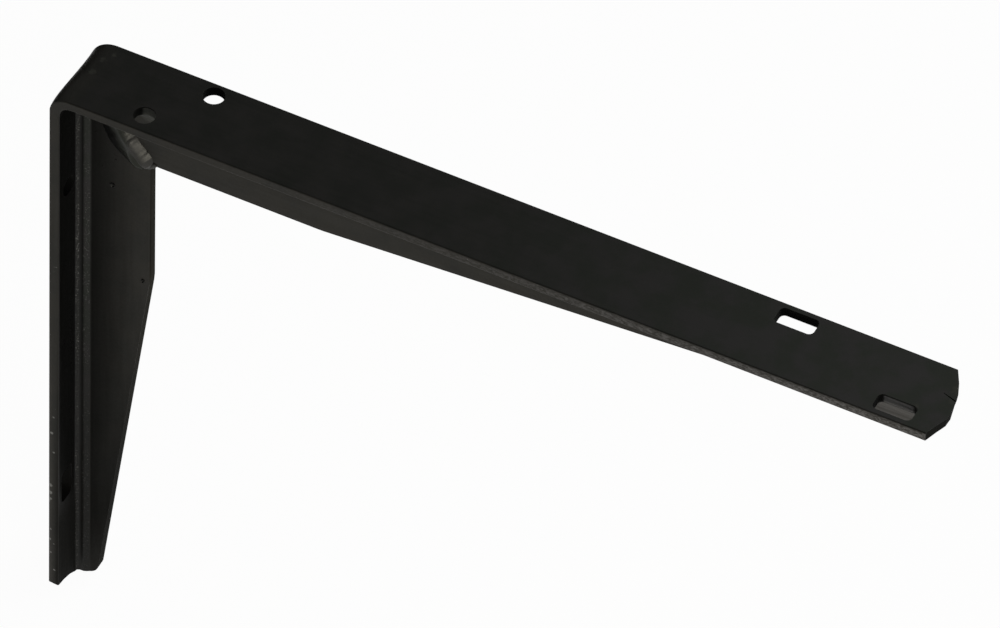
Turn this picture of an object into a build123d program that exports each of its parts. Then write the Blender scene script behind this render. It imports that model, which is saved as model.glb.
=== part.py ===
from build123d import *
import math
import os

# Shelf bracket, folded from one length of rolled steel tee bar. Millimetres.
# Origin: where the wall plane meets the shelf plane, at mid width.
# +X runs along the shelf arm, away from the wall. +Z is up. +Y is across the bracket.
# The wall plane is X = 0 and the shelf plane is Z = 0. Near is the -Y half, far the +Y half.

# The rolled tee bar: nominally 1 1/2 x 1 1/2 x 3/16 inch, and rolled a little deep
flange_width = 38.1
bar_depth = 38.7          # from the flange's outer face to the web's free edge
flange_thickness = 4.76
web_thickness = 4.76
root_radius = 2.5         # rolled fillet between web and flange
shoulder_half = 3.3       # half the web's thickness beside the root, where the roll left it thicker
shoulder_end = 8.3        # depth to which it keeps that thickness
shoulder_fade = 10.9      # depth from which the web has its plain thickness
shoulder_blend = 2.0      # rounding of the shoulder's two bends
edge_radius = 0.7         # rolled corners of the flange and of the web's free edge

# The two arms, measured from the outer corner: 16 inch shelf arm, 12 inch wall leg
arm_length = 406.4
leg_length = 304.8

# The fold. The bar was folded cold, so its outer radius grows from the near side to the far side,
# and grows again at the side edges, where the fold stretched them and drew them in.
fold_radii = [            # across the flange, outer radius there
    (-21.0, 12.3),
    (-18.0, 9.1),
    (-15.0, 8.4),
    (-12.0, 8.4),
    (-9.0, 8.7),
    (-6.0, 9.2),
    (-3.0, 9.8),
    (0.0, 10.4),
    (3.0, 11.0),
    (6.0, 11.5),
    (9.0, 12.0),
    (12.0, 12.3),
    (15.0, 12.5),
    (18.0, 12.4),
    (21.0, 15.4),
]
inner_bend_on_leg = 7.0   # how far down the leg, and how far along the arm,
inner_bend_on_arm = 6.0   # the fold's inner curve reaches

# The web's taper starts at a knee on each arm
arm_knee = 112.0
leg_knee = 108.0
knee_radius = 70.0
arm_end_depth = 15.6
leg_end_depth = 14.0
arm_web_end_radius = 8.6
leg_web_end_radius = 6.2
arm_web_setback = 4.0     # how far the web stops short of each nose
leg_web_setback = 1.8

# Punched holes and slots, staggered about the web: places from the outer corner, and across
hole_diameter = 9.525
near_hole_across = -10.6
far_hole_across = 12.4
arm_near_hole = 39.9
arm_far_hole = 60.0
leg_near_hole = 60.0
leg_far_hole = 39.9
slot_length = 17.9
slot_width = 8.9
slot_corner = 2.4
near_slot_across = -11.85
far_slot_across = 12.05
arm_near_slot = 384.9
arm_far_slot = 328.25
leg_near_slot = 241.4
leg_far_slot = 282.2

# Sheared noses: where across the flange, and how far the end is set back there, first at the
# outer face and then at the inner face. The shear leans, so the two differ.
arm_nose = [
    (-19.05, 4.2, 4.4),
    (-12.3, 1.8, 2.2),
    (-7.8, 0.0, 0.5),
    (-3.4, 0.0, 0.4),
    (2.4, 0.7, 2.2),
    (6.2, 1.7, 3.8),
    (12.0, 4.2, 6.4),
    (19.05, 8.2, 9.8),
]
leg_nose = [
    (-19.05, 6.7, 6.2),
    (-14.0, 5.9, 5.3),
    (-8.6, 4.0, 3.4),
    (-3.6, 0.9, 0.3),
    (0.0, 0.3, 0.0),
    (3.6, 0.9, 0.3),
    (8.6, 4.0, 3.4),
    (14.0, 5.9, 5.3),
    (19.05, 6.7, 6.2),
]
nose_corner_radius = 1.2

# A short tear that the shear left in the arm's nose
tear_start = (398.9, 4.5)
tear_end = (406.6, 2.1)
tear_start_width = 0.3
tear_end_width = 0.8
tear_depth = 1.6

# The weld that closes the mitre in the web: (distance along the mitre, how far it wandered from it
# towards the arm, width, height)
near_bead = [
    (11.5, 0.6, 5.2, 1.4),
    (16.5, 0.6, 9.0, 2.6),
    (21.5, 0.8, 10.0, 2.9),
    (26.5, 0.9, 10.6, 3.0),
    (31.5, 0.9, 11.4, 3.2),
    (36.5, 0.6, 12.6, 3.5),
    (41.5, 0.0, 13.0, 3.7),
    (46.5, -1.3, 12.6, 3.7),
    (51.5, -2.3, 11.6, 3.4),
    (56.5, -2.7, 6.0, 1.8),
]
far_bead = [
    (11.5, 0.0, 5.0, 1.3),
    (16.5, 0.0, 8.4, 2.3),
    (21.5, 0.0, 9.0, 2.6),
    (26.5, 0.0, 9.2, 2.7),
    (31.5, 0.0, 8.8, 2.6),
    (36.5, 0.0, 9.2, 2.7),
    (41.5, 0.0, 9.6, 2.8),
    (46.5, 0.0, 9.2, 2.7),
    (51.5, 0.0, 8.4, 2.4),
    (56.5, 0.0, 4.6, 1.4),
]
bead_sink = 1.2           # how far each bead's tool reaches into the web before it is cut flush
weld_wrap = 3.0           # leg of the small fillet that joins the beads round the inner corner

half_width = flange_width / 2
half_web = web_thickness / 2
beyond = 20.0             # how far cutting tools run past what they cut
margin = 2.0              # how far a tool stands off the face that it starts from
overlap = 1.0             # how far a tool or a filling reaches into what it meets
close_enough = 0.01       # for picking edges and corners by their place

# Side views: local x is the distance from the outer corner, local y the depth from the outer face
arm_side = Plane(origin=(0, 0, 0), x_dir=(1, 0, 0), z_dir=(0, 1, 0))
leg_side = Plane(origin=(0, 0, 0), x_dir=(0, 0, -1), z_dir=(0, -1, 0))
# Plan views of each flange: local x is the distance from the outer corner, local y is across
arm_plan = Plane(origin=(0, 0, 0), x_dir=(1, 0, 0), z_dir=(0, 0, 1))
leg_plan = Plane(origin=(0, 0, 0), x_dir=(0, 0, -1), z_dir=(1, 0, 0))


def tee_section():
    """The bar's section: local x across the flange, local y the depth from the outer face."""
    right_half = [
        (0, 0),
        (half_width, 0),
        (half_width, flange_thickness),
        (shoulder_half, flange_thickness),
        (shoulder_half, shoulder_end),
        (half_web, shoulder_fade),
        (half_web, bar_depth),
    ]
    left_half = [(-x, y) for x, y in reversed(right_half[1:])]
    section = make_face(Polyline(*right_half, *left_half, close=True))

    def at(x, y):
        near_x = [v for v in section.vertices() if abs(abs(v.X) - x) < close_enough]
        return [v for v in near_x if abs(v.Y - y) < close_enough]

    section = fillet(at(shoulder_half, flange_thickness), root_radius)
    section = fillet(at(shoulder_half, shoulder_end) + at(half_web, shoulder_fade), shoulder_blend)
    return fillet(at(half_web, bar_depth), edge_radius)


def prism(view, outline, reach=bar_depth + beyond):
    """A prism through the bracket, from a closed outline drawn in the given view."""
    return extrude(view * make_face(outline), amount=reach, both=True)


def mitred_bar(length, end_plane, side_view):
    """One arm of straight bar, cut back to the mitre plane where it meets the other arm."""
    bar = extrude(end_plane * tee_section(), amount=length)
    reach = bar_depth + beyond
    past_mitre = Polyline((-overlap, -overlap), (reach, reach), (-overlap, reach), close=True)
    return bar - prism(side_view, past_mitre)


def inner_bend():
    """The metal in the fold's inner curve, between the two flanges."""
    t = flange_thickness
    inside = t - overlap
    on_leg = t + inner_bend_on_leg
    on_arm = t + inner_bend_on_arm
    outline = [
        Line((on_arm, t), (on_arm, inside)),
        Line((on_arm, inside), (inside, inside)),
        Line((inside, inside), (inside, on_leg)),
        Line((inside, on_leg), (t, on_leg)),
        Bezier((t, on_leg), (t, t), (on_arm, t)),
    ]
    return prism(arm_side, outline, half_width)


def outside_of_fold():
    """What the fold's outer radius takes off the sharp corner."""
    def corner(y, r):
        outline = [
            Line((0, r), (-margin, r)),
            Line((-margin, r), (-margin, -margin)),
            Line((-margin, -margin), (r, -margin)),
            Line((r, -margin), (r, 0)),
            RadiusArc((r, 0), (0, r), r),
        ]
        return arm_side.offset(y) * make_face(outline)

    return loft([corner(y, r) for y, r in fold_radii])


def rounded_edges(bar):
    """The bar with its flange's four long edges rounded, and round the fold with them."""
    def long_and_at_the_side(edge):
        box = edge.bounding_box()
        at_side = min(abs(box.min.Y), abs(box.max.Y)) > half_width - close_enough
        at_arm_end = box.min.X > arm_length - close_enough
        at_leg_end = box.max.Z < close_enough - leg_length
        return at_side and not at_arm_end and not at_leg_end

    return fillet(bar.edges().filter_by(long_and_at_the_side), edge_radius)


def web_waste(length, knee, end_depth, setback, end_radius, side_view):
    """What is sheared off the web: below the taper, and round its free end."""
    end = length - setback
    slope = (bar_depth - end_depth) / (length - knee)
    lead = 10.0
    profile = FilletPolyline(
        (knee - lead, bar_depth),
        (knee, bar_depth),
        (end, bar_depth - slope * (end - knee)),
        (end, flange_thickness),
        radius=[knee_radius, end_radius],
    )
    past = Polyline(
        (end, flange_thickness),
        (length + beyond, flange_thickness),
        (length + beyond, bar_depth + beyond),
        (knee - lead, bar_depth + beyond),
        (knee - lead, bar_depth),
    )
    return prism(side_view, profile.edges() + past.edges())


def nose_waste(length, nose, plan, inward):
    """What is sheared off the flange's end. Inward is the plan's direction into the metal."""
    def cut_at(depth):
        lean = depth / flange_thickness
        edge = [(length - outer - lean * (inner - outer), y) for y, outer, inner in nose]
        edge = [(edge[0][0], -half_width - beyond)] + edge + [(edge[-1][0], half_width + beyond)]
        cut = FilletPolyline(*edge, radius=nose_corner_radius)
        far_end = length + beyond
        past = Polyline(edge[-1], (far_end, edge[-1][1]), (far_end, edge[0][1]), edge[0])
        return plan.offset(inward * depth) * make_face(cut.edges() + past.edges())

    leaning = loft([cut_at(-margin), cut_at(flange_thickness)], ruled=True)
    return leaning + extrude(cut_at(flange_thickness), amount=inward * bar_depth)


def tear():
    """The tear in the arm's nose: widest at the end face, and closing inwards."""
    (x0, y0), (x1, y1) = tear_start, tear_end
    start, end = tear_start_width / 2, tear_end_width / 2
    outline = Polyline((x0, y0 + start), (x0, y0 - start), (x1, y1 - end), (x1, y1 + end), close=True)
    return extrude(arm_plan * make_face(outline), amount=tear_depth, both=True)


def hole(distance, y, plan):
    return extrude(plan * Pos(distance, y) * Circle(hole_diameter / 2), amount=beyond, both=True)


def slot(distance, y, plan):
    outline = RectangleRounded(slot_length, slot_width, slot_corner)
    return extrude(plan * Pos(distance, y) * outline, amount=beyond, both=True)


def bracket():
    arm_end = Plane(origin=(arm_length, 0, 0), x_dir=(0, 1, 0), z_dir=(-1, 0, 0))
    leg_end = Plane(origin=(0, 0, -leg_length), x_dir=(0, -1, 0), z_dir=(0, 0, 1))
    arm = mitred_bar(arm_length, arm_end, arm_side)
    leg = mitred_bar(leg_length, leg_end, leg_side)
    bar = arm + leg + inner_bend()
    bar -= outside_of_fold()
    bar = rounded_edges(bar)
    bar -= web_waste(arm_length, arm_knee, arm_end_depth, arm_web_setback, arm_web_end_radius, arm_side)
    bar -= web_waste(leg_length, leg_knee, leg_end_depth, leg_web_setback, leg_web_end_radius, leg_side)
    bar -= nose_waste(arm_length, arm_nose, arm_plan, -1)
    bar -= nose_waste(leg_length, leg_nose, leg_plan, 1)
    bar -= tear()
    bar -= hole(arm_near_hole, near_hole_across, arm_plan)
    bar -= hole(arm_far_hole, far_hole_across, arm_plan)
    bar -= hole(leg_near_hole, near_hole_across, leg_plan)
    bar -= hole(leg_far_hole, far_hole_across, leg_plan)
    bar -= slot(arm_near_slot, near_slot_across, arm_plan)
    bar -= slot(arm_far_slot, far_slot_across, arm_plan)
    bar -= slot(leg_near_slot, near_slot_across, leg_plan)
    bar -= slot(leg_far_slot, far_slot_across, leg_plan)
    return bar


def bead(sections, side):
    """One weld bead along the mitre, as a loft of its cross-sections, sunk a little into the web."""
    faces = []
    for distance, offset, width, height in sections:
        x = (distance + offset) / math.sqrt(2)
        z = (offset - distance) / math.sqrt(2)
        place = Plane(origin=(x, side * half_web, z), x_dir=(1, 0, 1), z_dir=(side, 0, -side))
        half = width / 2
        faces.append(place * make_face([
            Line((-half, -bead_sink), (half, -bead_sink)),
            Line((half, -bead_sink), (half, 0)),
            ThreePointArc((half, 0), (0, height), (-half, 0)),
            Line((-half, 0), (-half, -bead_sink)),
        ]))
    return loft(faces)


def corner_weld(bar):
    """Both beads and the small fillet that joins them round the inner corner, flush with the bar."""
    inner = bar_depth
    inside = inner - overlap
    wrap = Polyline(
        (inside, inside),
        (inner + weld_wrap, inside),
        (inner + weld_wrap, inner),
        (inner, inner + weld_wrap),
        (inside, inner + weld_wrap),
        close=True,
    )
    weld = bead(near_bead, -1) + bead(far_bead, 1) + prism(arm_side, wrap, half_web)
    return weld - bar


os.makedirs("parts", exist_ok=True)
folded_bar = bracket()
export_step(folded_bar, "parts/bracket.step")
export_step(corner_weld(folded_bar), "parts/corner_weld.step")
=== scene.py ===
import math
import random

import bmesh
import bpy
from mathutils import Matrix, Vector, noise


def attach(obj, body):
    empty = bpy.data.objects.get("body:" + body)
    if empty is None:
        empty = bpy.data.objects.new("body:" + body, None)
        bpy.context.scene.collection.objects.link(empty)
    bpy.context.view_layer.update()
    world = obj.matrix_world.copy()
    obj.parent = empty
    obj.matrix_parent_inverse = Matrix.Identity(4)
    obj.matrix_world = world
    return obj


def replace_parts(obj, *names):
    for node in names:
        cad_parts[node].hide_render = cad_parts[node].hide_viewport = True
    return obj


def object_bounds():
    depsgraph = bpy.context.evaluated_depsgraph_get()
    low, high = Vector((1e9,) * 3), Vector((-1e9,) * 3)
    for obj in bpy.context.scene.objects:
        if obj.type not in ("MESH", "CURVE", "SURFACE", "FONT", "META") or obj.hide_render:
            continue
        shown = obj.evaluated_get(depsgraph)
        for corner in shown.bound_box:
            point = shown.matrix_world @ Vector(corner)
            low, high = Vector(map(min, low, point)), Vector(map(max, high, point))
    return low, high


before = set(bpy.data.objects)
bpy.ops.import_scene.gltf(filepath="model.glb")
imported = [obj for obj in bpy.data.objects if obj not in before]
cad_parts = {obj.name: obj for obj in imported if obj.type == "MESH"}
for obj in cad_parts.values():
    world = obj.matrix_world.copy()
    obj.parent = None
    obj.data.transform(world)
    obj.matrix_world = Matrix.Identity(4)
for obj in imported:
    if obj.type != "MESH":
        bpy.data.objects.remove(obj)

# Shelf bracket in black paint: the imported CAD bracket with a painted-steel material, the rippled
# weld in its mitre, and the spatter around it.
# Metres. Origin: where the wall plane meets the shelf plane; +X along the arm, +Z up, -Y near.

MM = 0.001
cad_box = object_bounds()

# The bracket's sizes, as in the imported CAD
HALF_WEB = 2.38 * MM
BAR_DEPTH = 38.7 * MM
HALF_WIDTH = 19.05 * MM

# Depths under the outer faces at which the flange's inner face begins, and at which the fillet and
# the groove beside the web's root end. Each is a pair, for a soft step from one to the other.
INNER_FACE = (4.5 * MM, 4.7 * MM)
FILLET_END = (5.9 * MM, 6.3 * MM)
GROOVE_END = (7.4 * MM, 8.0 * MM)

MOST = (0.3, 0.7)         # where most of a noise texture's values lie
ALONG_ARM = (22, 520, 520)   # noise scales that draw it out along the arm, or along the leg
ALONG_LEG = (520, 520, 22)
GLOSS = 0.13              # specular level of the black paint

# The photograph's camera: angles in degrees, lengths in metres
AZIMUTH = 26.25585
ELEVATION = 47.40651
ROLL = 1.17204
TARGET = Vector((0.2, 0.0, -0.1))
SIDE_STEP = 0.02126 * MM
RISE = -34.24734 * MM
DISTANCE = 10.6075
FOCAL = 25.761            # in image widths
SENSOR = 36.0             # mm


def camera():
    a, e, r = (math.radians(v) for v in (AZIMUTH, ELEVATION, ROLL))
    right = Vector((math.cos(a), math.sin(a), 0))
    forward = Vector((-math.sin(a) * math.cos(e), math.cos(a) * math.cos(e), -math.sin(e)))
    up = right.cross(forward)
    right, up = right * math.cos(r) + up * math.sin(r), up * math.cos(r) - right * math.sin(r)
    place = TARGET - right * SIDE_STEP - up * RISE - forward * DISTANCE
    turn = Matrix((right, up, -forward)).transposed()
    data = bpy.data.cameras.new("photo_camera")
    data.sensor_width = SENSOR
    data.sensor_fit = "HORIZONTAL"
    data.lens = FOCAL * SENSOR
    data.clip_start = 1.0
    data.clip_end = 60.0
    obj = bpy.data.objects.new("photo_camera", data)
    obj.matrix_world = Matrix.Translation(place) @ turn.to_4x4()
    bpy.context.scene.collection.objects.link(obj)
    bpy.context.scene.camera = obj


def feed(tree, socket, value):
    """Gives a socket its value, or links another node's output to it."""
    if isinstance(value, bpy.types.NodeSocket):
        tree.links.new(value, socket)
    else:
        socket.default_value = value


def node(tree, kind, inputs=None, **settings):
    """A shader node with its settings and its inputs, which are values or other nodes' outputs."""
    made = tree.nodes.new(kind)
    for name, value in settings.items():
        setattr(made, name, value)
    for name, value in (inputs or {}).items():
        feed(tree, made.inputs[name], value)
    return made


def blank_material(name):
    material = bpy.data.materials.new(name)
    material.use_nodes = True
    material.node_tree.nodes.clear()
    return material, material.node_tree


def maths(tree, operation, a, b=0.0, clamp=False):
    return node(tree, "ShaderNodeMath", {0: a, 1: b}, operation=operation, use_clamp=clamp).outputs[0]


def largest(tree, *values):
    most = values[0]
    for value in values[1:]:
        most = maths(tree, "MAXIMUM", most, value)
    return most


def times(tree, *values):
    product = values[0]
    for value in values[1:]:
        product = maths(tree, "MULTIPLY", product, value)
    return product


def span(tree, value, low, high, to_low=0.0, to_high=1.0):
    """The value mapped from low..high to to_low..to_high in an S curve, and held at the ends."""
    inputs = {"Value": value, "From Min": low, "From Max": high, "To Min": to_low, "To Max": to_high}
    return node(tree, "ShaderNodeMapRange", inputs, interpolation_type="SMOOTHSTEP", clamp=True).outputs[0]


def grain(tree, vector, scale, detail=3.0, roughness=0.55):
    inputs = {"Vector": vector, "Scale": scale, "Detail": detail, "Roughness": roughness}
    return node(tree, "ShaderNodeTexNoise", inputs).outputs["Fac"]


def stretched(tree, coords, scale):
    return node(tree, "ShaderNodeMapping", {"Vector": coords, "Scale": scale}).outputs["Vector"]


def mixed(tree, share, low, high):
    return node(tree, "ShaderNodeMix", {0: share, 2: low, 3: high}, data_type="FLOAT").outputs[0]


def blend_colour(tree, share, low, high):
    return node(tree, "ShaderNodeMix", {0: share, 6: low, 7: high}, data_type="RGBA").outputs[2]


def gap_to(tree, place, centre):
    """How far a place lies from a centre that is given in mm."""
    inputs = {0: place, 1: tuple(v * MM for v in centre)}
    return node(tree, "ShaderNodeVectorMath", inputs, operation="DISTANCE").outputs["Value"]


class BarPlaces:
    """Where a point lies on the bar: along it, its depth under the outer faces, and across it."""

    def __init__(self, tree):
        self.place = node(tree, "ShaderNodeTexCoord").outputs["Object"]
        axes = node(tree, "ShaderNodeSeparateXYZ", {"Vector": self.place}).outputs
        self.x = axes["X"]
        self.drop = maths(tree, "MULTIPLY", axes["Z"], -1.0)
        self.along = maths(tree, "MAXIMUM", self.x, self.drop)
        self.depth = maths(tree, "MINIMUM", self.x, self.drop)
        self.y = axes["Y"]
        self.across = maths(tree, "ABSOLUTE", self.y)
        past_mitre = maths(tree, "SUBTRACT", self.x, self.drop)
        self.on_arm = span(tree, past_mitre, -2 * MM, 2 * MM)
        self.on_leg = maths(tree, "SUBTRACT", 1.0, self.on_arm)
        self.down_mitre = maths(tree, "MULTIPLY", maths(tree, "ADD", self.x, self.drop), math.sqrt(0.5))
        self.off_mitre = maths(tree, "MULTIPLY", past_mitre, math.sqrt(0.5))


PAINT_DEEP = (0.0040, 0.0045, 0.0037, 1)
PAINT_WORN = (0.0084, 0.0078, 0.0075, 1)
# Painted shade, near black: recesses, sheared faces, the shaded web and beside the weld's toe
PAINT_SHADE = (0.0015, 0.0015, 0.0013, 1)
# Warm painted light on the near faces, the lit web and the fold
PAINT_WARM_LIGHT = (0.0150, 0.0136, 0.0104, 1)
# Painted light on the first hole's wall and the metal seen through it
PAINT_HOLE_LIGHT = (0.052, 0.053, 0.048, 1)
# Paler along the outer edge of the side faces, low on the leg
EDGE_PALE = (0.036, 0.034, 0.030, 1)
# Partly dust, partly painted light: along the top and on the shoulder's bend
LIT_DUST_GREEN = (0.0134, 0.0155, 0.0126, 1)
LIT_DUST_GREY = (0.0184, 0.0175, 0.0181, 1)
# Scuffed paint with painted light, on the side faces and in the last slot
SCUFFED_AND_LIT = (0.086, 0.085, 0.086, 1)
WELD_MIDDLE = (0.0150, 0.0165, 0.0130, 1)
# Painted highlight on the weld's flank towards the arm
WELD_HIGHLIGHT = (0.035, 0.0345, 0.033, 1)
# Bright specks: chips and mill scale, with painted glints beside the root
CHIP_AND_GLINT = (0.17, 0.17, 0.165, 1)
SMUDGE = (0.024, 0.024, 0.020, 1)

# Faint smudges and rubbed patches on the outer faces: (place, radius) in mm
SMUDGES = [
    ((403.5, 8.0, 0.0), 3.4),
    ((404.0, 1.5, 0.0), 1.6),
    ((392.5, -7.2, 0.0), 1.5),
    ((9.2, 1.0, 0.0), 2.0),
    ((10.1, 9.3, 0.0), 1.7),
    ((13.0, 13.4, 0.0), 1.3),
    ((2.8, -12.9, -3.0), 1.2),
]
# Chips along the leg's near side: (place, radius) in mm
CHIPS = [
    ((2.5, -19.05, -195.1), 0.6),
    ((1.5, -19.05, -205.2), 0.9),
    ((2.6, -19.05, -216.8), 0.6),
    ((0.4, -19.05, -237.6), 1.5),
    ((0.6, -19.05, -242.4), 1.3),
    ((0.3, -19.05, -246.8), 1.6),
    ((1.0, -19.05, -265.0), 0.8),
    ((0.6, -19.05, -271.4), 0.9),
    ((2.6, -19.05, -273.7), 0.6),
    ((1.0, -19.05, -279.4), 0.8),
    ((2.6, -19.05, -289.7), 0.7),
]


def spots(tree, bar, places):
    """How much a point lies within any of the spots, from 0 to 1, with ragged edges."""
    ragged = span(tree, grain(tree, bar.place, 700.0, 3.0), *MOST, -0.35, 0.35)
    total = 0.0
    for centre, radius in places:
        radii = maths(tree, "DIVIDE", gap_to(tree, bar.place, centre), radius * MM)
        gap = maths(tree, "ADD", radii, ragged)
        total = maths(tree, "MAXIMUM", total, span(tree, gap, 0.35, 1.0, 1.0, 0.0))
    return total


def scuffs_and_light(tree, bar, streaks):
    """Rough scuffed paint with painted light: the side faces, lighter towards the arm's end, and the last
    slot's wall and the web behind it.
    """
    pebbles = grain(tree, stretched(tree, bar.place, (700, 1500, 1500)), 1.0, 3.0)
    side = span(tree, bar.across, 18.85 * MM, 19.0 * MM)
    # Painted light: lighter towards the arm's end
    to_end = span(tree, bar.x, 0.02, 0.38, 0.0, 0.9)
    side = times(tree, side, to_end, span(tree, pebbles, 0.36, 0.66, 0.1, 1.2))
    upper_line = span(tree, bar.depth, 0.4 * MM, 1.7 * MM, 0.45, 1.0)
    side = times(tree, side, upper_line)
    light_streaks = span(tree, streaks, 0.32, 0.68, 0.42, 1.25)
    # Painted light on the last slot's wall and on the web seen behind it
    wall = times(
        tree,
        span(tree, bar.x, 0.3772, 0.3784),
        span(tree, bar.x, 0.3905, 0.3920, 1.0, 0.0),
        span(tree, bar.depth, 0.5 * MM, 1.3 * MM),
        span(tree, bar.depth, 4.4 * MM, 4.7 * MM, 1.0, 0.0),
        span(tree, bar.across, 16.0 * MM, 16.2 * MM, 1.0, 0.0),
        light_streaks,
    )
    behind = times(
        tree,
        span(tree, bar.x, 0.3700, 0.3720),
        span(tree, bar.x, 0.3920, 0.3970, 1.0, 0.0),
        span(tree, bar.depth, 4.5 * MM, 4.8 * MM),
        span(tree, bar.across, 6.5 * MM, 7.5 * MM, 1.0, 0.0),
        light_streaks,
        0.66,
    )
    return maths(tree, "MAXIMUM", side, largest(tree, wall, behind), clamp=True)


def hole_light(tree, bar):
    """Painted light on the first hole's wall and on the metal seen through it; the wall's end towards the
    fold stays black.
    """
    gap = gap_to(tree, bar.place, (38.5, -7.0, -6.0))
    beyond = span(tree, bar.depth, 4.5 * MM, 4.8 * MM, 0.0, 0.45)
    lit = largest(tree, span(tree, bar.x, 36.6 * MM, 37.8 * MM), beyond)
    return times(
        tree,
        span(tree, gap, 7.5 * MM, 9.0 * MM, 1.0, 0.0),
        span(tree, bar.depth, 0.5 * MM, 0.9 * MM),
        span(tree, bar.across, 16.5 * MM, 17.0 * MM, 1.0, 0.0),
        maths(tree, "MINIMUM", lit, span(tree, bar.depth, 4.5 * MM, 4.8 * MM, 1.0, 0.45)),
    )


def shoulder(tree, bar):
    """The rolled shoulder beside the web's root: its fillet, the groove, and the shoulder's outer bend."""
    on_bar = span(tree, bar.across, 2.45 * MM, 2.55 * MM)
    beside = span(tree, bar.across, 4.5 * MM, 4.9 * MM, 1.0, 0.0)
    fillet = times(
        tree,
        on_bar,
        beside,
        span(tree, bar.depth, 4.9 * MM, 5.1 * MM),
        span(tree, bar.depth, *FILLET_END, 1.0, 0.0),
    )
    groove = times(
        tree,
        on_bar,
        beside,
        span(tree, bar.depth, *FILLET_END),
        span(tree, bar.depth, *GROOVE_END, 1.0, 0.0),
    )
    bend = times(tree, on_bar, beside, span(tree, bar.depth, *GROOVE_END))
    return fillet, groove, bend


def specks(tree, bar, fillet, bend):
    """Bare bright specks: chips in the side faces, and mill scale beside the root and on the far rim;
    beside the root they are partly painted glints.
    """
    crumbs = grain(tree, bar.place, 640.0, 2.0, 0.6)
    fine = grain(tree, bar.place, 1700.0, 2.0, 0.6)
    patches = grain(tree, bar.place, 55.0, 2.0)
    side = span(tree, bar.across, HALF_WIDTH - 1.0 * MM, HALF_WIDTH - 0.2 * MM)
    side = times(tree, side, span(tree, crumbs, 0.70, 0.73), span(tree, patches, 0.55, 0.66))
    side = largest(tree, side, spots(tree, bar, CHIPS))
    rim = times(
        tree,
        span(tree, bar.y, 18.3 * MM, 18.5 * MM),
        span(tree, bar.depth, 0.5 * MM, 0.8 * MM, 1.0, 0.0),
        span(tree, fine, 0.56, 0.68, 0.0, 0.45),
    )
    fewer_below = span(tree, bar.drop, 0.15, 0.26, 1.0, 0.45)
    clusters = times(tree, span(tree, patches, 0.35, 0.6, 0.25, 1.0), fewer_below)
    on_fillet = times(tree, fillet, clusters, span(tree, fine, 0.55, 0.68, 0.0, 0.9))
    on_bend = times(tree, bend, clusters, span(tree, fine, 0.60, 0.72, 0.0, 0.9))
    return largest(tree, side, rim, on_fillet, on_bend)


def sheared_faces(tree, bar):
    """The punched walls and the noses, but not the fold's outer curve, which also lies under the
    outer planes."""
    return times(
        tree,
        span(tree, bar.depth, 0.03 * MM, 0.12 * MM),
        span(tree, bar.depth, *INNER_FACE, 1.0, 0.0),
        span(tree, bar.across, 18.3 * MM, 18.6 * MM, 1.0, 0.0),
        span(tree, bar.along, 15 * MM, 18 * MM),
    )


def over_weld(tree, bar, blotches, fine, rough, height):
    """Painted shade towards the leg, and a painted highlight from the crest to the toe on the arm's side,
    where the flank faces the front lamp.
    """
    ragged = span(tree, grain(tree, bar.place, 300.0, 3.0), *MOST, -0.9 * MM, 0.9 * MM)
    off = maths(tree, "ADD", bar.off_mitre, ragged)
    crest = span(tree, bar.down_mitre, 38 * MM, 45 * MM, 1.6 * MM, -2.2 * MM)
    toe = span(tree, bar.down_mitre, 33 * MM, 44 * MM, 0.4 * MM, -4.8 * MM)
    toe = maths(tree, "ADD", toe, -2.6 * MM)
    from_toe = maths(tree, "SUBTRACT", off, toe)
    from_crest = maths(tree, "SUBTRACT", off, crest)
    past_toe = span(tree, from_toe, -1.2 * MM, 2.0 * MM)
    # Painted highlight on the flank between the crest and the toe on the arm's side
    bright = times(
        tree,
        span(tree, from_crest, -0.8 * MM, 1.4 * MM),
        span(tree, bar.down_mitre, 34 * MM, 41 * MM),
        span(tree, blotches, 0.25, 0.6, 0.7, 1.0),
    )
    # Painted shade beyond the weld's toe on the leg's side
    colour = blend_colour(tree, past_toe, PAINT_SHADE, WELD_MIDDLE)
    colour = blend_colour(tree, bright, colour, WELD_HIGHLIGHT)
    rough = maths(tree, "ADD", rough, span(tree, blotches, *MOST, 0.27, 0.36))
    height = maths(tree, "ADD", height, times(tree, fine, 0.3))
    return colour, rough, height


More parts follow.
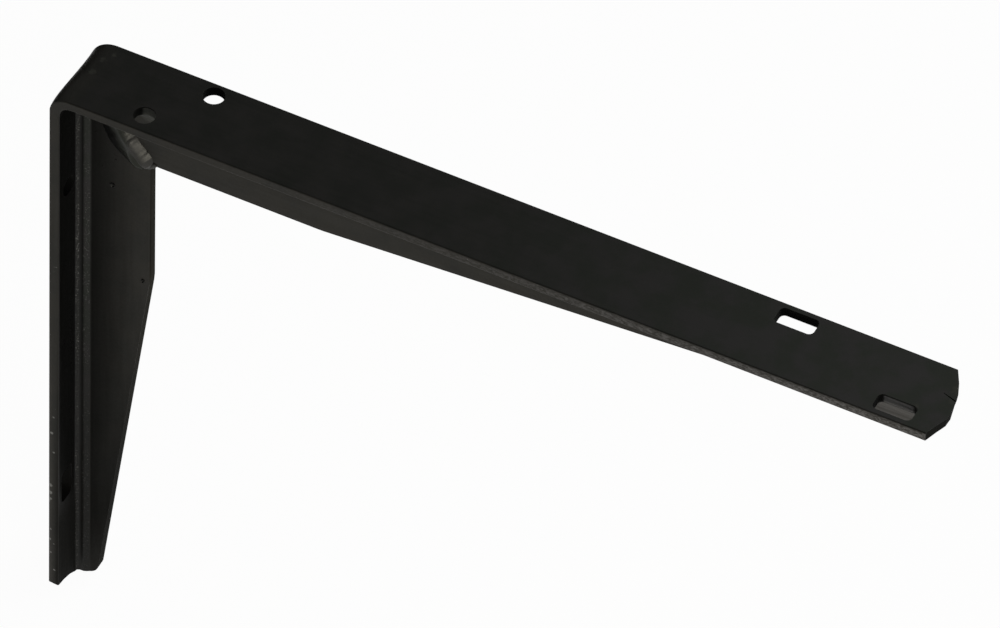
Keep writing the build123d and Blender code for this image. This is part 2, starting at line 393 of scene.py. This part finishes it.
def over_bar(tree, bar, blotches, fine, streaks, rough, height):
    """The bar's blotches and streaks, with painted shade, painted light, scuffs, specks and smudges over
    them.
    """
    fillet, groove, bend = shoulder(tree, bar)
    sheared = sheared_faces(tree, bar)
    scuffed_and_lit = scuffs_and_light(tree, bar, streaks)
    side = span(tree, bar.across, 18.8 * MM, 19.0 * MM)
    # The flange's inner faces, which get painted shade below
    inner_face = times(
        tree,
        span(tree, bar.across, 18.4 * MM, 18.9 * MM, 1.0, 0.0),
        span(tree, bar.depth, *INNER_FACE),
        span(tree, bar.depth, 4.95 * MM, 5.4 * MM, 1.0, 0.0),
    )
    low = times(tree, bar.on_leg, span(tree, bar.along, 0.10, 0.28))
    foot = times(tree, bar.on_leg, span(tree, bar.along, 0.262, 0.292))
    on_web = times(
        tree,
        span(tree, bar.depth, 10.5 * MM, 11.5 * MM),
        span(tree, bar.across, 2.5 * MM, 3.0 * MM, 1.0, 0.0),
    )
    # Painted shade on the leg's web: darkest towards the flange and low on the leg, paler at the foot
    shaded = times(tree, span(tree, bar.depth, 2 * MM, 40 * MM, 1.0, 0.0), 0.95)
    shaded = largest(tree, shaded, times(tree, low, 0.7))
    paler_foot = maths(tree, "SUBTRACT", 1.0, times(tree, foot, 0.4))
    shaded = times(tree, on_web, shaded, bar.on_leg, paler_foot)
    # Painted shade on the leg's side faces away from the outer edge, low on the leg
    side_shade = times(tree, side, low, span(tree, bar.depth, 2.0 * MM, 4.6 * MM, 0.0, 0.75))
    # Paler along the outer edge of the side faces, low on the leg
    pale_edge = times(
        tree,
        side,
        low,
        span(tree, bar.depth, 0.8 * MM, 2.4 * MM, 1.0, 0.0),
        span(tree, blotches, 0.3, 0.6, 0.5, 1.0),
    )

    # Warm painted light on the near faces, the lit web and over the fold; dust with painted light along
    # the top; black painted shade in the recesses
    tone = maths(tree, "ADD", times(tree, blotches, 0.75), times(tree, streaks, 0.25))
    colour = blend_colour(tree, span(tree, tone, 0.32, 0.68), PAINT_DEEP, PAINT_WORN)
    # Painted light: the web outside the painted shade is warmer and lighter
    lit_web = times(tree, on_web, maths(tree, "SUBTRACT", 1.0, shaded))
    on_fold = times(
        tree,
        span(tree, bar.along, 7 * MM, 16 * MM, 0.4, 0.0),
        span(tree, bar.depth, 4.4 * MM, 4.7 * MM, 1.0, 0.0),
    )
    # Warm painted light on the lit web, the side faces and the fold
    warm_light = times(tree, largest(tree, lit_web, side, on_fold), span(tree, blotches, 0.3, 0.6, 0.5, 0.9))
    colour = blend_colour(tree, warm_light, colour, PAINT_WARM_LIGHT)
    lit_dust_tone = blend_colour(tree, span(tree, blotches, 0.38, 0.62), LIT_DUST_GREEN, LIT_DUST_GREY)
    # Partly dust, partly painted light: lighter along the top towards the arm's end, and on the shoulder's
    # bend, fading low on the leg
    dust_and_light = times(
        tree,
        span(tree, bar.x, 0.12, 0.42),
        span(tree, bar.depth, 0.1 * MM, 0.3 * MM, 1.0, 0.0),
        span(tree, bar.across, 18.2 * MM, 18.6 * MM, 1.0, 0.0),
    )
    dust_and_light = largest(tree, dust_and_light, times(tree, bend, span(tree, bar.drop, 0.12, 0.24, 0.8, 0.0)))
    colour = blend_colour(tree, dust_and_light, colour, lit_dust_tone)
    # Painted shade on the root's fillet and bend, low on the leg
    low_root = times(tree, largest(tree, fillet, bend), low, 0.7)
    # Painted shade, near black: inner faces, sheared faces, shaded web and sides, the groove and the low
    # root
    black = largest(tree, inner_face, sheared, shaded, side_shade, times(tree, groove, 0.6), low_root)
    colour = blend_colour(tree, black, colour, PAINT_SHADE)
    # Paler outer edge, scuffs with painted light, painted light in the first hole, specks with painted
    # glints
    colour = blend_colour(tree, pale_edge, colour, EDGE_PALE)
    colour = blend_colour(tree, scuffed_and_lit, colour, SCUFFED_AND_LIT)
    colour = blend_colour(tree, hole_light(tree, bar), colour, PAINT_HOLE_LIGHT)
    colour = blend_colour(tree, specks(tree, bar, fillet, bend), colour, CHIP_AND_GLINT)
    colour = blend_colour(tree, times(tree, spots(tree, bar, SMUDGES), 0.75), colour, SMUDGE)

    # The sheared faces are the roughest, and the flange's inner faces the smoothest
    web_edge = times(
        tree,
        span(tree, bar.depth, 12 * MM, 13 * MM),
        span(tree, bar.across, 2.1 * MM, 2.3 * MM, 1.0, 0.0),
    )
    leg_end = times(tree, bar.on_leg, span(tree, bar.along, 0.240, 0.265), inner_face)
    roughest = largest(tree, web_edge, sheared, scuffed_and_lit, leg_end)
    rough = maths(tree, "ADD", rough, span(tree, streaks, *MOST, 0.43, 0.51))
    rough = maths(tree, "SUBTRACT", rough, times(tree, inner_face, 0.15))
    rough = maths(tree, "ADD", rough, times(tree, largest(tree, shaded, side_shade), 0.4))
    rough = maths(tree, "ADD", rough, times(tree, roughest, 0.6), clamp=True)
    uneven = largest(tree, fillet, scuffed_and_lit, times(tree, bend, 0.5))
    uneven = maths(tree, "ADD", 1.0, times(tree, uneven, 5.0))
    height = maths(tree, "ADD", height, times(tree, fine, 0.5, uneven))
    return colour, rough, height


def black_paint(name, welded=False):
    """Satin black paint on hot-rolled steel, for the bar or for the weld, with painted light and shade in
    its colour.
    """
    material, tree = blank_material(name)
    bar = BarPlaces(tree)
    blotches = grain(tree, bar.place, 70.0, 4.0)
    fine = grain(tree, bar.place, 900.0, 2.0)
    arm_streaks = grain(tree, stretched(tree, bar.place, ALONG_ARM), 1.0, 3.0)
    leg_streaks = grain(tree, stretched(tree, bar.place, ALONG_LEG), 1.0, 3.0)
    streaks = mixed(tree, bar.on_arm, leg_streaks, arm_streaks)
    rough = span(tree, fine, *MOST, -0.02, 0.04)
    height = maths(tree, "ADD", times(tree, blotches, 2.2), times(tree, streaks, 0.6))
    if welded:
        colour, rough, height = over_weld(tree, bar, blotches, fine, rough, height)
    else:
        colour, rough, height = over_bar(tree, bar, blotches, fine, streaks, rough, height)

    bump = node(tree, "ShaderNodeBump", {"Strength": 0.35, "Distance": 0.1 * MM, "Height": height})
    shader = node(tree, "ShaderNodeBsdfPrincipled", {
        "Base Color": colour, "Roughness": rough, "Normal": bump.outputs["Normal"],
        "Specular IOR Level": GLOSS, "Specular Tint": (1.0, 1.0, 0.93, 1), "Metallic": 0.0,
    })
    node(tree, "ShaderNodeOutputMaterial", {"Surface": shader.outputs[0]})
    return material


# The weld in the mitre, in mm: (distance along it, how far from it towards the arm, half width,
# height, where the crest lies from -1 to 1). The near side took two passes, the second beside the
# first at the inner corner.
NEAR_FIRST_PASS = [
    (11.5, 0.6, 2.4, 1.2, 0.0), (16.5, 0.6, 4.4, 2.4, 0.0), (21.5, 0.4, 5.0, 2.8, 0.1),
    (26.5, -0.2, 5.8, 2.9, 0.3), (31.5, -0.9, 6.6, 3.1, 0.45), (36.5, -2.0, 7.5, 3.4, 0.45),
    (41.5, -2.9, 7.2, 3.5, 0.42), (45.5, -4.6, 5.0, 2.9, 0.25), (49.0, -5.4, 3.8, 2.4, 0.0),
    (52.5, -5.6, 3.0, 1.7, 0.0), (54.8, -5.0, 1.6, 0.8, 0.0),
]
NEAR_SECOND_PASS = [
    (36.0, 3.4, 1.4, 0.6, 0.0), (40.0, 2.0, 3.0, 3.3, -0.15), (44.0, 0.9, 3.6, 3.7, -0.25),
    (48.0, 0.6, 3.6, 3.8, -0.3), (51.5, 0.2, 3.7, 3.6, -0.3), (54.0, -1.0, 3.5, 2.5, -0.1),
    (55.8, -1.8, 2.0, 1.1, 0.0),
]
FAR_PASS = [
    (11.5, 0.0, 2.4, 1.2, 0.0), (16.5, 0.0, 4.1, 2.2, 0.0), (21.5, 0.0, 4.4, 2.5, 0.0),
    (26.5, 0.0, 4.5, 2.6, 0.1), (31.5, 0.0, 4.3, 2.5, 0.1), (36.5, 0.0, 4.5, 2.6, 0.0),
    (41.5, 0.0, 4.7, 2.7, -0.1), (46.5, 0.0, 4.5, 2.6, 0.0), (51.5, 0.0, 4.1, 2.3, 0.0),
    (56.5, 0.0, 2.2, 1.2, 0.0),
]
FLANK = 1.35              # how straight the beads' flanks are: 1 is straight, 2 round
SINK = 1.0                # mm that each bead reaches into the web
BEAD_ROWS = 190           # steps along a bead, and across it
BEAD_COLUMNS = 56
BEAD_END = 1.8            # mm over which a bead's ends round off
SKIN = 0.15               # mm that a bead's toes lie under the web's face
RIPPLE_HEIGHT = 0.03      # mm
RIPPLE_PITCH = 2.4        # mm
LUMP_HEIGHT = 0.24        # mm
LUMP_SCALE = 0.17         # lumps per mm
WRAP = 3.0                # mm: leg of the small fillet round the web's inner corner
WRAP_LAP = 0.6            # mm that the fillet's ends reach past the corner
WRAP_HALF_WIDTH = 2.9     # mm
WRAP_ROOT = 1.6           # mm that the fillet reaches into the web
WRAP_STEPS = 24


def station(table, s):
    """A pass's offset, half width, height and crest at a distance along the mitre, on a smooth curve."""
    if not table[0][0] <= s <= table[-1][0]:
        return None
    last = len(table) - 1
    i = max(k for k in range(last) if table[k][0] <= s)
    a, b, c, d = (table[min(max(k, 0), last)] for k in (i - 1, i, i + 1, i + 2))
    t = (s - b[0]) / (c[0] - b[0])
    return [
        q + 0.5 * t * (r - p + t * (2 * p - 5 * q + 4 * r - e + t * (3 * (q - r) + e - p)))
        for p, q, r, e in zip(a[1:], b[1:], c[1:], d[1:])
    ]


def ripple(s, across, seed):
    """Height of the weld's crescent ripples: each one steep on its leading side."""
    wander = 0.5 * noise.noise(Vector((s * 0.35, seed, 0)))
    phase = (s - 2.2 * across * across) / RIPPLE_PITCH + wander
    step = phase - math.floor(phase)
    return (step ** 0.7) * (1 - step) * 1.6 - 0.35


def rise(passes, s, w, seed):
    """Height in mm of the highest pass over a place on the web."""
    best = 0.0
    for number, table in enumerate(passes):
        found = station(table, s)
        if found is None:
            continue
        centre, half, height, crest = found
        u = (w - centre) / half
        if abs(u) >= 1:
            continue
        from_crest = (u - crest) / (1 - crest) if u > crest else (crest - u) / (1 + crest)
        crown = 1 - from_crest ** FLANK
        lump = RIPPLE_HEIGHT * ripple(s, u, seed + number)
        lump += LUMP_HEIGHT * noise.noise(Vector((s * LUMP_SCALE, w * LUMP_SCALE, seed + number)))
        best = max(best, (height + lump) * crown)
    return best


def bead_rows(passes, side, seed):
    """Rows of points over one bead, in metres, from one end to the other."""
    start = min(table[0][0] for table in passes)
    end = max(table[-1][0] for table in passes)
    rows = []
    for i in range(BEAD_ROWS + 1):
        s = start + (end - start) * i / BEAD_ROWS
        found = [f for f in (station(table, s) for table in passes) if f]
        low = min(centre - half for centre, half, *_ in found)
        high = max(centre + half for centre, half, *_ in found)
        ends = min(1.0, (s - start) / BEAD_END, (end - s) / BEAD_END)
        ends = math.sqrt(max(0.0, 1 - (1 - ends) ** 2))
        middle, reach = (low + high) / 2, (high - low) / 2 * max(ends, 0.12)
        row = []
        for j in range(BEAD_COLUMNS + 1):
            u = -math.cos(math.pi * j / BEAD_COLUMNS)
            w = middle + reach * u
            edge = 0.22 * noise.noise(Vector((s * 0.6, seed + (9 if u > 0 else 0), 1))) * u * u
            h = rise(passes, s, w, seed) * ends - SKIN
            w += edge
            x, z = (s + w) / math.sqrt(2), (w - s) / math.sqrt(2)
            row.append((x * MM, side * (HALF_WEB + h * MM), z * MM))
        rows.append(row)
    return rows


def closed_sheet(bm, top, bottom):
    """A closed form between two grids of points."""
    top = [[bm.verts.new(p) for p in row] for row in top]
    bottom = [[bm.verts.new(p) for p in row] for row in bottom]
    last_row, last = len(top) - 1, len(top[0]) - 1
    for i in range(last_row):
        for j in range(last):
            bm.faces.new((top[i][j], top[i][j + 1], top[i + 1][j + 1], top[i + 1][j]))
            bm.faces.new((bottom[i][j], bottom[i + 1][j], bottom[i + 1][j + 1], bottom[i][j + 1]))
        for j in (0, last):
            bm.faces.new((top[i][j], top[i + 1][j], bottom[i + 1][j], bottom[i][j]))
    for j in range(last):
        for i in (0, last_row):
            bm.faces.new((top[i][j], bottom[i][j], bottom[i][j + 1], top[i][j + 1]))


def add_bead(bm, passes, side, seed):
    rows = bead_rows(passes, side, seed)
    sunk = side * (HALF_WEB - SINK * MM)
    closed_sheet(bm, rows, [[(x, sunk, z) for x, _, z in row] for row in rows])


def add_wrap(bm):
    """The small lumpy fillet that joins the two beads round the web's inner corner."""
    corner = BAR_DEPTH / MM
    top, bottom = [], []
    for i in range(WRAP_STEPS + 1):
        t = i / WRAP_STEPS
        x, z = corner - WRAP_LAP + (WRAP + WRAP_LAP) * t, -corner - WRAP + (WRAP + WRAP_LAP) * t
        top_row, bottom_row = [], []
        for j in range(WRAP_STEPS + 1):
            v = -1 + 2 * j / WRAP_STEPS
            y = v * WRAP_HALF_WIDTH
            swell = 0.35 * math.sin(math.pi * t) - 0.5 * abs(v) ** 3
            swell += 0.25 * noise.noise(Vector((t * 3, v * 2.5, 21)))
            top_row.append(((x + swell * 0.7) * MM, y * MM, (z - swell * 0.7) * MM))
            bottom_row.append(((x - WRAP_ROOT) * MM, y * 0.9 * MM, (z + WRAP_ROOT) * MM))
        top.append(top_row)
        bottom.append(bottom_row)
    closed_sheet(bm, top, bottom)


# Burst bubbles and drops of spatter on the web's faces: (x, z, side, radius, height), in mm
CRATERS = [
    (21.1, -59.3, -1, 1.15, 0.55),
    (35.2, -110.5, -1, 0.95, 0.42),
]
DROPS = [
    (16.4, -50.4, -1, 0.42, 0.30),
    (34.6, -28.2, -1, 0.42, 0.26),
    (37.2, -31.2, -1, 0.48, 0.30),
    (31.6, -22.6, -1, 0.40, 0.26),
]
# More small drops are scattered beside the mitre: along it, off it, and their radii, in mm
RANDOM_DROPS = 6
DROPS_ALONG = (24, 50)
DROPS_OFF = (8, 17)
DROP_RADII = (0.22, 0.42)
WEB_NEAR_CORNER = (15, 36)   # the web's depths that a scattered drop may land on, in mm

# Half sections, from the tip out: (share of the radius, share of the height)
CRATER = [(0.0, 0.06), (0.35, 0.08), (0.55, 0.35), (0.70, 0.90), (0.82, 1.0), (0.94, 0.6), (1.05, -0.3)]
DROP = [(0.0, 1.0), (0.35, 0.93), (0.62, 0.74), (0.84, 0.42), (0.97, 0.05), (1.0, -0.3)]
TURNS = 20                # faces round a drop


def add_spatter(bm, outline, x, z, side, radius, height):
    """One drop or burst bubble, turned about an axis across the web."""
    lean = random.uniform(0, math.tau)
    rings = []
    for r, h in outline[1:]:
        ring = []
        for k in range(TURNS):
            a = math.tau * k / TURNS
            wobble = 1 + 0.12 * math.sin(2 * a + lean) + 0.05 * math.sin(3 * a)
            px = x + radius * r * wobble * math.cos(a)
            pz = z + radius * r * wobble * math.sin(a)
            tall = height * h * (1 + 0.25 * math.cos(a - lean))
            ring.append(bm.verts.new((px * MM, side * (HALF_WEB + tall * MM), pz * MM)))
        rings.append(ring)
    tip = bm.verts.new((x * MM, side * (HALF_WEB + height * outline[0][1] * MM), z * MM))
    base = bm.verts.new((x * MM, side * (HALF_WEB - 0.3 * height * MM), z * MM))
    for k in range(TURNS):
        n = (k + 1) % TURNS
        bm.faces.new((tip, rings[0][k], rings[0][n]))
        bm.faces.new((base, rings[-1][n], rings[-1][k]))
        for inner, outer in zip(rings, rings[1:]):
            bm.faces.new((inner[k], outer[k], outer[n], inner[n]))


def new_object(name, data):
    obj = bpy.data.objects.new(name, data)
    bpy.context.scene.collection.objects.link(obj)
    return obj


def new_piece(name, bm, material):
    bmesh.ops.recalc_face_normals(bm, faces=bm.faces)
    mesh = bpy.data.meshes.new(name)
    bm.to_mesh(mesh)
    bm.free()
    for polygon in mesh.polygons:
        polygon.use_smooth = True
    mesh.materials.append(material)
    obj = new_object(name, mesh)
    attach(obj, "root")
    return obj


def weld(steel):
    """The beads and the fillet that joins them replace the CAD's weld. Spatter lies beside them."""
    material = black_paint("black_paint_weld", welded=True)
    bm = bmesh.new()
    add_bead(bm, [NEAR_FIRST_PASS, NEAR_SECOND_PASS], -1, 4.0)
    add_bead(bm, [FAR_PASS], 1, 11.0)
    add_wrap(bm)
    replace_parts(new_piece("corner_weld_bead", bm, material), "corner_weld")

    bm = bmesh.new()
    for place in CRATERS:
        add_spatter(bm, CRATER, *place)
    new_piece("weld_craters", bm, material)

    bm = bmesh.new()
    for place in DROPS:
        add_spatter(bm, DROP, *place)
    nearest, farthest = WEB_NEAR_CORNER
    for _ in range(RANDOM_DROPS):
        s, w = random.uniform(*DROPS_ALONG), random.choice((-1, 1)) * random.uniform(*DROPS_OFF)
        x, z = (s + w) / math.sqrt(2), (w - s) / math.sqrt(2)
        if nearest < x < farthest or nearest < -z < farthest:
            radius = random.uniform(*DROP_RADII)
            add_spatter(bm, DROP, x, z, random.choice((-1, 1)), radius, radius * 0.7)
    new_piece("weld_spatter", bm, steel)


FLOOR_GAP = 0.5 * MM      # under the leg's end
FLOOR_REACH = 40.0
FLOOR_WHITE = 0.96        # how far the camera and gloss see the floor as white


def rectangle(name, half_width, half_height, z, material):
    """A flat sheet of the stage, which never rides the part."""
    w, h = half_width, half_height
    mesh = bpy.data.meshes.new(name)
    mesh.from_pydata([(-w, -h, z), (w, -h, z), (w, h, z), (-w, h, z)], [], [(0, 1, 2, 3)])
    mesh.materials.append(material)
    obj = new_object(name, mesh)
    return obj


def aimed(obj, place, aim, front):
    """Sets an object down with its front axis towards a point, and hides it from the camera."""
    obj.location = place
    obj.rotation_euler = (Vector(aim) - Vector(place)).to_track_quat(front, "Y").to_euler()
    obj.visible_camera = False


def floor():
    """A large pale floor under the leg's end. The camera and gloss see it as near white."""
    material, tree = blank_material("floor_white")
    place = node(tree, "ShaderNodeTexCoord").outputs["Object"]
    tone = span(tree, grain(tree, place, 6.0, 4.0), *MOST, 0.86, 0.88)
    paper = node(tree, "ShaderNodeBsdfDiffuse", {"Color": tone, "Roughness": 1.0}).outputs[0]
    white = node(tree, "ShaderNodeEmission", {"Color": (1, 1, 1, 1), "Strength": 1.0}).outputs[0]
    rays = node(tree, "ShaderNodeLightPath").outputs
    seen = maths(tree, "ADD", rays["Is Camera Ray"], rays["Is Glossy Ray"])
    seen = maths(tree, "ADD", seen, rays["Is Transmission Ray"], clamp=True)
    share = maths(tree, "MULTIPLY", seen, FLOOR_WHITE)
    surface = node(tree, "ShaderNodeMixShader", {0: share, 1: paper, 2: white}).outputs[0]
    clear = node(tree, "ShaderNodeBsdfTransparent").outputs[0]
    under = node(tree, "ShaderNodeNewGeometry").outputs["Backfacing"]
    both = node(tree, "ShaderNodeMixShader", {0: under, 1: surface, 2: clear}).outputs[0]
    node(tree, "ShaderNodeOutputMaterial", {"Surface": both})
    rectangle("floor", FLOOR_REACH, FLOOR_REACH, cad_box[0].z - FLOOR_GAP, material)


def lamp(name, place, aim, size, power, colour):
    data = bpy.data.lights.new(name, "AREA")
    data.shape = "DISK"
    data.size = size
    data.energy = power
    data.color = colour
    aimed(new_object(name, data), place, aim, "-Z")


def flag(name, place, aim, width, height):
    """A black card that the camera doesn't see, as a photographer sets beside gloss to keep it dark."""
    material, tree = blank_material(name)
    place_on_card = node(tree, "ShaderNodeTexCoord").outputs["Object"]
    tone = span(tree, grain(tree, place_on_card, 20.0), *MOST, 0.018, 0.025)
    felt = node(tree, "ShaderNodeBsdfDiffuse", {"Color": tone}).outputs[0]
    node(tree, "ShaderNodeOutputMaterial", {"Surface": felt})
    aimed(rectangle(name, width / 2, height / 2, 0, material), place, aim, "Z")


def lights():
    """A pale studio: bright at the horizon, dimmer overhead and above the camera's side."""
    world = bpy.data.worlds.new("studio")
    bpy.context.scene.world = world
    world.use_nodes = True
    tree = world.node_tree
    tree.nodes.clear()
    direction = node(tree, "ShaderNodeTexCoord").outputs["Generated"]
    axes = node(tree, "ShaderNodeSeparateXYZ", {"Vector": direction}).outputs
    up = span(tree, axes["Z"], 0.0, 0.7, 0.8, 0.30)
    ahead = span(tree, axes["Y"], -0.9, -0.2, 0.3, 1.0)
    tone = maths(tree, "MULTIPLY", up, ahead)
    sky = node(tree, "ShaderNodeBackground", {"Color": tone, "Strength": 1.0})
    node(tree, "ShaderNodeOutputWorld", {"Surface": sky.outputs[0]})
    lamp("key", (0.95, 1.1, 1.7), (0.3, 0, -0.05), 1.4, 22.0, (0.97, 1.0, 0.95))
    lamp("front", (0.72, -0.66, 0.0), (0.30, 0, -0.03), 0.35, 3.8, (1.0, 0.94, 0.84))
    flag("flag_left", (-0.46, 0.37, -0.06), (0.05, 0, -0.06), 1.0, 0.48)


def paint_bracket(material):
    for slot in bpy.data.objects["bracket"].material_slots:
        slot.material = material


random.seed(5)
steel_paint = black_paint("black_paint_steel")
paint_bracket(steel_paint)
weld(steel_paint)
floor()
camera()
lights()
bpy.context.scene.view_settings.view_transform = "Standard"
